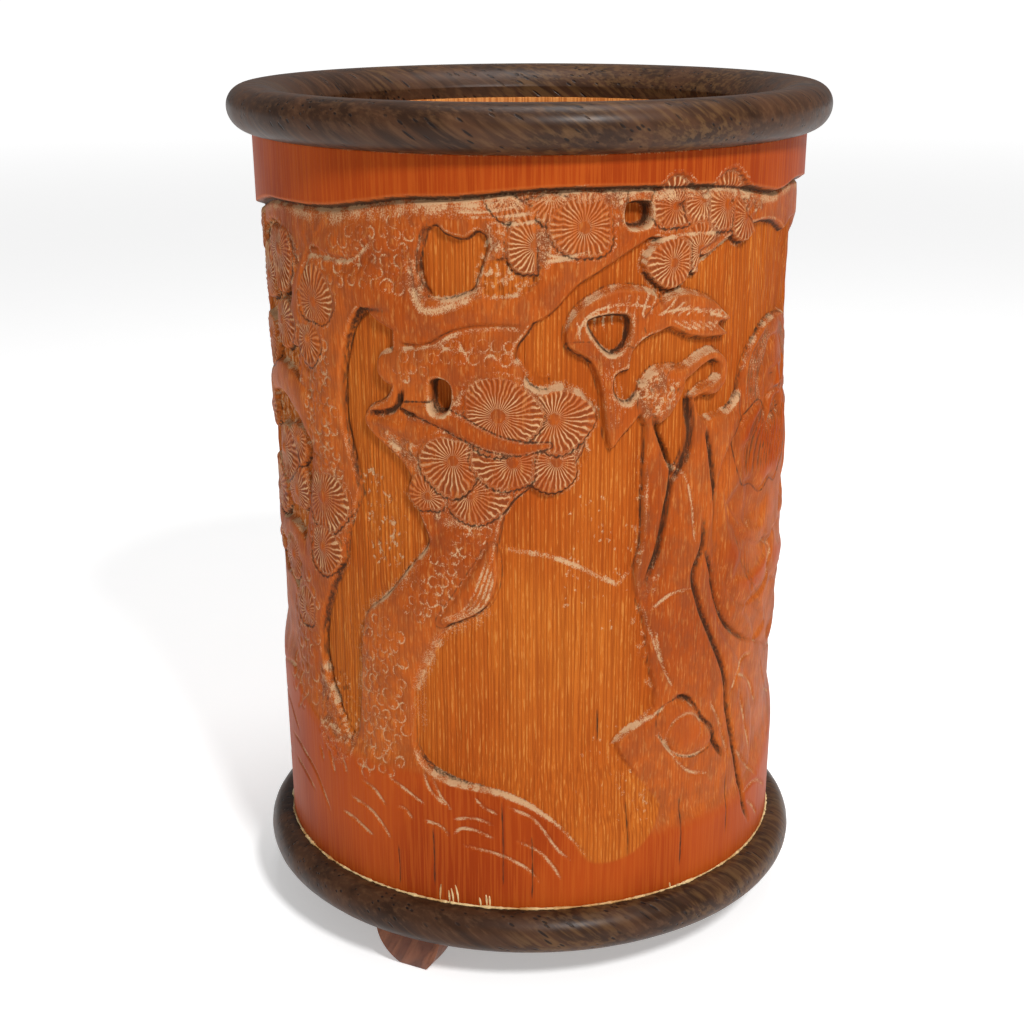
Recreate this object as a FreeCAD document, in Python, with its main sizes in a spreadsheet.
"""Bamboo brush pot on three feet, as a parametric FreeCAD document in millimetres.

A length of thick bamboo culm, carved in relief, stands between two turned hardwood mouldings.
The rim moulding caps its top end. The base moulding carries a round floor board on a ledge, and
the culm stands on that board. Three bracket feet hang under the base moulding, each on a peg.
+Z is up, the soles of the feet lie on Z = 0 and the axis of the pot is the Z axis.
"""

import FreeCAD, Part

import math
import os

import Sketcher

OUT = "parts"

# The driving dimensions, in millimetres and degrees: (alias, value, what it is).
DIMENSIONS = [
    ("foot_height", 9.0, "soles to the underside of the base moulding"),
    ("base_height", 9.5, "thickness of the base moulding"),
    ("culm_height", 160.0, "culm between the two mouldings"),
    ("rim_height", 9.5, "thickness of the rim moulding"),
    ("bore_radius", 50.5, "inside of the culm"),
    ("culm_top_radius", 60.0, "skin of the culm at the rim"),
    ("culm_foot_radius", 57.5, "skin of the culm at the base"),
    ("rim_radius", 65.2, "nose of the rim moulding"),
    ("rim_nose_rise", 5.2, "nose of the rim above its underside"),
    ("rim_crest_radius", 59.2, "inner edge of the rim's narrow flat top"),
    ("rim_mouth_radius", 51.2, "opening inside the rim moulding"),
    ("rim_mouth_rise", 4.6, "where the inner slope of the rim turns upright"),
    ("rim_lip", 0.4, "underside of the rim beyond the culm"),
    ("rim_tongue_radius", 56.0, "rebate in the rim for the culm's tongue"),
    ("rim_tongue_height", 2.0, "how far the culm's tongue enters the rim"),
    ("base_radius", 63.0, "nose of the base moulding"),
    ("base_opening_radius", 46.0, "opening under the floor board"),
    ("base_ledge_height", 4.5, "thickness of the ledge under the floor board"),
    ("base_rebate_radius", 55.0, "rebate for the floor board and the tongue"),
    ("board_thickness", 3.0, "floor board"),
    ("joint_gap", 0.05, "radial room in each glued joint"),
    ("relief_depth", 1.2, "mean depth of the carved relief below the skin"),
    ("relief_low", 24.0, "lowest height of the carved field"),
    ("relief_high", 168.0, "lower edge of the plain band under the rim"),
    ("bead_width", 0.8, "glue bead on the base moulding"),
    ("bead_height", 0.6, "glue bead up the culm"),
    ("foot_bearing", -117.0, "bearing of the first foot, from +X"),
    ("foot_circle_radius", 54.5, "radius of the circle of feet and pegs"),
    ("foot_top_width", 16.0, "foot along the moulding, at its top"),
    ("foot_sole_width", 6.4, "foot along the moulding, at its sole"),
    ("foot_top_depth", 9.0, "foot across the moulding, at its top"),
    ("foot_sole_depth", 5.0, "foot across the moulding, at its sole"),
    ("foot_bulge_radius", 18.0, "radius of the foot's curved sides and face"),
    ("foot_edge_radius", 1.2, "rounding of the foot's standing edges"),
    ("sole_edge_radius", 0.5, "rounding of the edges of the sole"),
    ("peg_radius", 1.5, "bamboo peg"),
    ("peg_in_ring", 3.6, "peg length in the base moulding"),
    ("peg_in_foot", 5.0, "peg length in the foot"),
    ("peg_end_room", 0.2, "empty depth past each end of a peg"),
    ("peg_chamfer", 0.4, "chamfer on both ends of a peg"),
]

FOOT_PLACES = ["front_left", "right", "back_left"]

# Heights that follow from the driving dimensions.
BASE_TOP = "({foot_height} + {base_height})"
LEDGE_TOP = "({foot_height} + {base_ledge_height})"
BOARD_TOP = f"({LEDGE_TOP} + {{board_thickness}})"
RIM_FOOT = f"({BASE_TOP} + {{culm_height}})"
RIM_TONGUE_TOP = f"({RIM_FOOT} + {{rim_tongue_height}})"
RIM_TOP = f"({RIM_FOOT} + {{rim_height}})"
CULM_SLOPE = "(({culm_top_radius} - {culm_foot_radius}) / {culm_height})"


def make_sheet(doc):
    """The spreadsheet that every sub-part reads its sizes from."""
    sheet = doc.addObject("Spreadsheet::Sheet", "sheet")
    for row, (alias, value, note) in enumerate(DIMENSIONS, start=1):
        sheet.set(f"A{row}", note)
        sheet.set(f"B{row}", str(value))
        sheet.setAlias(f"B{row}", alias)
    doc.recompute()


def bound(text):
    """An expression on the sheet, from a text that names its cells in braces."""
    return text.format(**{alias: f"sheet.{alias}" for alias, _, _ in DIMENSIONS})


def value_of(doc, text):
    """The number that such an expression has with the sheet's present values."""
    cells = {alias: float(getattr(doc.sheet, alias)) for alias, _, _ in DIMENSIONS}
    return float(FreeCAD.Units.Quantity(text.format(**cells)).Value)


def bind(sketch, constraint, expression):
    """Adds a constraint to the sketch and ties its value to the sheet."""
    index = sketch.addConstraint(constraint)
    sketch.setExpression(f"Constraints[{index}]", bound(expression))


def new_body(doc, label):
    body = doc.addObject("PartDesign::Body", label)
    body.Label = label
    return body


def sketch_on(body, name, role):
    """An empty sketch on one of the body's own origin planes."""
    plane = next(f for f in body.Origin.OriginFeatures if f.Role == role)
    sketch = body.newObject("Sketcher::SketchObject", name)
    sketch.AttachmentSupport = (plane, [""])
    sketch.MapMode = "FlatFace"
    return sketch


def arc_between(start, end, radius):
    """The short arc from start to end that bulges to the right of that direction."""
    chord = end - start
    rise = radius - math.sqrt(radius**2 - (chord.Length / 2) ** 2)
    side = FreeCAD.Vector(chord.y, -chord.x, 0).normalize()
    return Part.Arc(start, (start + end) / 2 + side * rise, end)


def outline(body, name, role, corners, radii=None):
    """A closed sketch through the corners, each an (across, up) pair of expressions.

    radii gives the radius of each edge that is an arc, by the number of the corner it starts
    from. Such an arc bulges to the right of its direction; every other edge is straight.
    """
    doc = body.Document
    radii = radii or {}
    sketch = sketch_on(body, name, role)
    points = [FreeCAD.Vector(value_of(doc, x), value_of(doc, y), 0) for x, y in corners]
    count = len(points)
    for i, start in enumerate(points):
        end = points[(i + 1) % count]
        if i in radii:
            edge = arc_between(start, end, value_of(doc, radii[i]))
        else:
            edge = Part.LineSegment(start, end)
        sketch.addGeometry(edge, False)
    for i in range(count):
        joined = Sketcher.Constraint("Coincident", i, 2, (i + 1) % count, 1)
        sketch.addConstraint(joined)
    for i, (x, y) in enumerate(corners):
        for kind, axis, value, text in (
            ("DistanceX", -2, points[i].x, x),
            ("DistanceY", -1, points[i].y, y),
        ):
            if value == 0:
                sketch.addConstraint(Sketcher.Constraint("PointOnObject", i, 1, axis))
            else:
                bind(sketch, Sketcher.Constraint(kind, -1, 1, i, 1, value), text)
    for i, radius in radii.items():
        bind(sketch, Sketcher.Constraint("Radius", i, value_of(doc, radius)), radius)
    return sketch


def turned(body, name, corners, radii=None, kind="PartDesign::Revolution"):
    """A feature that turns an outline in the XZ plane once round the pot's axis."""
    sketch = outline(body, f"{name}_section", "XZ_Plane", corners, radii)
    feature = body.newObject(kind, name)
    feature.Profile = sketch
    feature.ReferenceAxis = (sketch, ["V_Axis"])
    feature.Angle = 360
    return feature


def level_arc(run, fall):
    """Radius of an arc that starts along its run and leaves it by fall at the run's end."""
    return f"(({run}) ^ 2 + ({fall}) ^ 2) / (2 * ({fall}))"


def rim_moulding(doc):
    """The turned rim: an ovolo up to the nose, a narrow flat top and a long slope inside."""
    body = new_body(doc, "rim_moulding")
    shoulder = "({rim_height} - {rim_nose_rise})"
    lip = "({culm_top_radius} + {rim_lip})"
    corners = [
        ("{rim_tongue_radius}", RIM_FOOT),
        (lip, RIM_FOOT),
        ("{rim_radius}", f"{RIM_FOOT} + {{rim_nose_rise}}"),
        (f"{{rim_radius}} - {shoulder}", RIM_TOP),
        ("{rim_crest_radius}", RIM_TOP),
        ("{rim_mouth_radius}", f"{RIM_FOOT} + {{rim_mouth_rise}}"),
        ("{rim_mouth_radius}", RIM_TONGUE_TOP),
        ("{rim_tongue_radius}", RIM_TONGUE_TOP),
    ]
    slope_run = "{rim_crest_radius} - {rim_mouth_radius}"
    slope_fall = "{rim_height} - {rim_mouth_rise}"
    radii = {
        1: level_arc("{rim_nose_rise}", f"{{rim_radius}} - {lip}"),
        2: shoulder,
        4: level_arc(slope_run, slope_fall),
    }
    turned(body, "rim_turning", corners, radii)


def peg_hole(body, name, across, up, depth, upwards):
    """A round blind hole for a peg, from the height of the feet's tops."""
    doc = body.Document
    radius = "{peg_radius} + {joint_gap}"
    centre = FreeCAD.Vector(value_of(doc, across), value_of(doc, up), 0)
    sketch = sketch_on(body, f"{name}_circle", "XY_Plane")
    sketch.setExpression("AttachmentOffset.Base.z", bound("{foot_height}"))
    circle = Part.Circle(centre, FreeCAD.Vector(0, 0, 1), value_of(doc, radius))
    sketch.addGeometry(circle, False)
    bind(sketch, Sketcher.Constraint("Radius", 0, value_of(doc, radius)), radius)
    for kind, axis, value, text in (
        ("DistanceX", -2, centre.x, across),
        ("DistanceY", -1, centre.y, up),
    ):
        if value == 0:
            sketch.addConstraint(Sketcher.Constraint("PointOnObject", 0, 3, axis))
        else:
            bind(sketch, Sketcher.Constraint(kind, -1, 1, 0, 3, value), text)
    doc.recompute()
    before = body.Shape.Volume
    hole = body.newObject("PartDesign::Pocket", name)
    hole.Profile = sketch
    hole.Reversed = upwards
    hole.setExpression("Length", bound(f"{depth} + {{peg_end_room}}"))
    doc.recompute()
    if body.Shape.Volume >= before:
        raise RuntimeError(f"{name} cuts nothing from {body.Label}")
    return sketch, hole


def base_moulding(doc):
    """The turned base: a half-round nose, a rebate inside it, and a peg hole over each foot."""
    body = new_body(doc, "base_moulding")
    nose = "({base_height} / 2)"
    flat = f"({{base_radius}} - {nose})"
    corners = [
        ("{base_opening_radius}", "{foot_height}"),
        (flat, "{foot_height}"),
        ("{base_radius}", f"{{foot_height}} + {nose}"),
        (flat, BASE_TOP),
        ("{base_rebate_radius}", BASE_TOP),
        ("{base_rebate_radius}", LEDGE_TOP),
        ("{base_opening_radius}", LEDGE_TOP),
    ]
    turned(body, "base_turning", corners, {1: nose, 2: nose})
    sketch, hole = peg_hole(
        body, "peg_hole", "{foot_circle_radius}", "0", "{peg_in_ring}", upwards=True
    )
    pattern = body.newObject("PartDesign::PolarPattern", "peg_holes")
    pattern.Originals = [hole]
    pattern.Axis = (sketch, ["N_Axis"])
    pattern.Angle = 360
    pattern.Occurrences = len(FOOT_PLACES)
    body.Tip = pattern
    # The holes are drilled from +X round; turning the ring brings the first one to its foot.
    body.setExpression("Placement.Rotation.Angle", bound("{foot_bearing} * 1 deg"))


def floor_board(doc):
    """The round board on the base moulding's ledge."""
    board = doc.addObject("Part::Cylinder", "floor_board")
    board.Label = "floor_board"
    board.setExpression("Radius", bound("{base_rebate_radius} - {joint_gap}"))
    board.setExpression("Height", bound("{board_thickness}"))
    board.setExpression("Placement.Base.z", bound(LEDGE_TOP))


def skin_radius(height):
    return f"({{culm_foot_radius}} + ({height} - {BASE_TOP}) * {CULM_SLOPE})"


def bamboo_body(doc):
    """The culm: a tapering tube with a tongue at each end, sunk to the relief's mean depth."""
    body = new_body(doc, "bamboo_body")
    lower_tongue = "{base_rebate_radius} - {joint_gap}"
    upper_tongue = "{rim_tongue_radius} - {joint_gap}"
    corners = [
        ("{bore_radius}", BOARD_TOP),
        (lower_tongue, BOARD_TOP),
        (lower_tongue, BASE_TOP),
        ("{culm_foot_radius}", BASE_TOP),
        ("{culm_top_radius}", RIM_FOOT),
        (upper_tongue, RIM_FOOT),
        (upper_tongue, RIM_TONGUE_TOP),
        ("{bore_radius}", RIM_TONGUE_TOP),
    ]
    turned(body, "culm_turning", corners)
    doc.recompute()
    before = body.Shape.Volume
    outside = "{rim_radius}"
    field = [
        (f"{skin_radius('{relief_low}')} - {{relief_depth}}", "{relief_low}"),
        (outside, "{relief_low}"),
        (outside, "{relief_high}"),
        (f"{skin_radius('{relief_high}')} - {{relief_depth}}", "{relief_high}"),
    ]
    turned(body, "relief_field", field, kind="PartDesign::Groove")
    doc.recompute()
    if body.Shape.Volume >= before:
        raise RuntimeError("relief_field cuts nothing from bamboo_body")


def glue_bead(doc):
    """The bead of glue in the corner between the culm and the base moulding."""
    body = new_body(doc, "glue_bead")
    bead_top = f"({BASE_TOP} + {{bead_height}})"
    corners = [
        ("{culm_foot_radius}", BASE_TOP),
        ("{culm_foot_radius} + {bead_width}", BASE_TOP),
        (skin_radius(bead_top), bead_top),
    ]
    turned(body, "bead_ring", corners)


def trim(body, name, role, corners, radii=None):
    """Cuts an outline through the whole body, both ways from its plane."""
    before = body.Shape.Volume
    sketch = outline(body, f"{name}_outline", role, corners, radii)
    cut = body.newObject("PartDesign::Pocket", name)
    cut.Profile = sketch
    cut.Type = "ThroughAll"
    cut.Midplane = True
    body.Document.recompute()
    if body.Shape.Volume >= before:
        raise RuntimeError(f"{name} cuts nothing from {body.Label}")
    return cut


def round_edges(body, base, name, radius, wanted):
    """Fillets every edge of the base feature for which wanted(edge) is true."""
    edges = [
        f"Edge{i}" for i, edge in enumerate(base.Shape.Edges, start=1) if wanted(edge)
    ]
    fillet = body.newObject("PartDesign::Fillet", name)
    fillet.Base = (base, edges)
    fillet.setExpression("Radius", bound(radius))
    body.Document.recompute()
    return fillet


def place_at_foot(body, index):
    """Moves a body from the pot's axis to its place in the circle of feet."""
    turn = 360 / len(FOOT_PLACES) * index
    bearing = f"({{foot_bearing}} + {turn}) * 1 deg"
    for axis, wave in (("x", "cos"), ("y", "sin")):
        reach = bound(f"{{foot_circle_radius}} * {wave}({bearing})")
        body.setExpression(f"Placement.Base.{axis}", reach)
    body.setExpression("Placement.Rotation.Angle", bound(bearing))


def bracket_foot(doc, index):
    """A foot that tapers to its sole, with bulging sides and face; its +X looks outwards."""
    body = new_body(doc, f"foot_{FOOT_PLACES[index]}")
    half_sole = "({foot_sole_width} / 2)"
    half_top = "({foot_top_width} / 2)"
    elevation = [
        (f"0 - {half_sole}", "0"),
        (half_sole, "0"),
        (half_top, "{foot_height}"),
        (f"0 - {half_top}", "{foot_height}"),
    ]
    bulge = "{foot_bulge_radius}"
    block = body.newObject("PartDesign::Pad", "foot_block")
    block.Profile = outline(
        body, "foot_elevation", "YZ_Plane", elevation, {1: bulge, 3: bulge}
    )
    block.Midplane = True
    block.setExpression("Length", bound("{foot_top_depth}"))
    doc.recompute()

    outer_top = "({foot_top_depth} / 2)"
    outer_sole = "({foot_sole_depth} / 2)"
    beyond = "{foot_top_depth}"
    face = [
        (outer_sole, "0"),
        (outer_top, "{foot_height}"),
        (beyond, "{foot_height}"),
        (beyond, "0"),
    ]
    trim(body, "outer_face", "XZ_Plane", face, {0: bulge})
    back = [
        (f"0 - {beyond}", "0"),
        (f"0 - {beyond}", "{foot_height}"),
        (f"0 - {outer_top}", "{foot_height}"),
        (f"0 - {outer_sole}", "0"),
    ]
    tapered = trim(body, "inner_face", "XZ_Plane", back)

    def standing(edge):
        return edge.BoundBox.ZLength > value_of(doc, "{foot_height} * 0.9")

    def at_sole(edge):
        return edge.BoundBox.ZMax < value_of(doc, "{sole_edge_radius}")

    softened = round_edges(
        body, tapered, "standing_edges", "{foot_edge_radius}", standing
    )
    round_edges(body, softened, "sole_edges", "{sole_edge_radius}", at_sole)
    peg_hole(body, "foot_hole", "0", "0", "{peg_in_foot}", upwards=False)
    place_at_foot(body, index)


def peg(doc, index):
    """The bamboo peg that holds a foot, chamfered at both ends."""
    body = new_body(doc, f"peg_{FOOT_PLACES[index]}")
    low = "({foot_height} - {peg_in_foot})"
    high = "({foot_height} + {peg_in_ring})"
    end_radius = "({peg_radius} - {peg_chamfer})"
    corners = [
        ("0", low),
        (end_radius, low),
        ("{peg_radius}", f"{low} + {{peg_chamfer}}"),
        ("{peg_radius}", f"{high} - {{peg_chamfer}}"),
        (end_radius, high),
        ("0", high),
    ]
    turned(body, "peg_turning", corners)
    place_at_foot(body, index)


def check(doc, pieces):
    """Stops the script if any object failed or any piece isn't one valid solid."""
    for item in doc.Objects:
        if "Invalid" in item.State or "Error" in item.State:
            raise RuntimeError(f"{item.Label} failed: {item.State}")
    for piece in pieces:
        shape = piece.Shape
        if shape.isNull() or not shape.isValid() or len(shape.Solids) != 1:
            raise RuntimeError(f"{piece.Label} isn't one valid solid")


def main():
    os.makedirs(OUT, exist_ok=True)
    doc = FreeCAD.newDocument("brush_pot")
    make_sheet(doc)
    rim_moulding(doc)
    base_moulding(doc)
    floor_board(doc)
    bamboo_body(doc)
    glue_bead(doc)
    for index in range(len(FOOT_PLACES)):
        bracket_foot(doc, index)
        peg(doc, index)
    doc.recompute()
    kinds = ("PartDesign::Body", "Part::Cylinder")
    pieces = [item for item in doc.Objects if item.TypeId in kinds]
    check(doc, pieces)
    for piece in pieces:
        piece.Shape.exportStep(os.path.join(OUT, f"{piece.Label}.step"))
        print(f"{piece.Label}: {piece.Shape.Volume / 1000:.2f} cm3")


main()
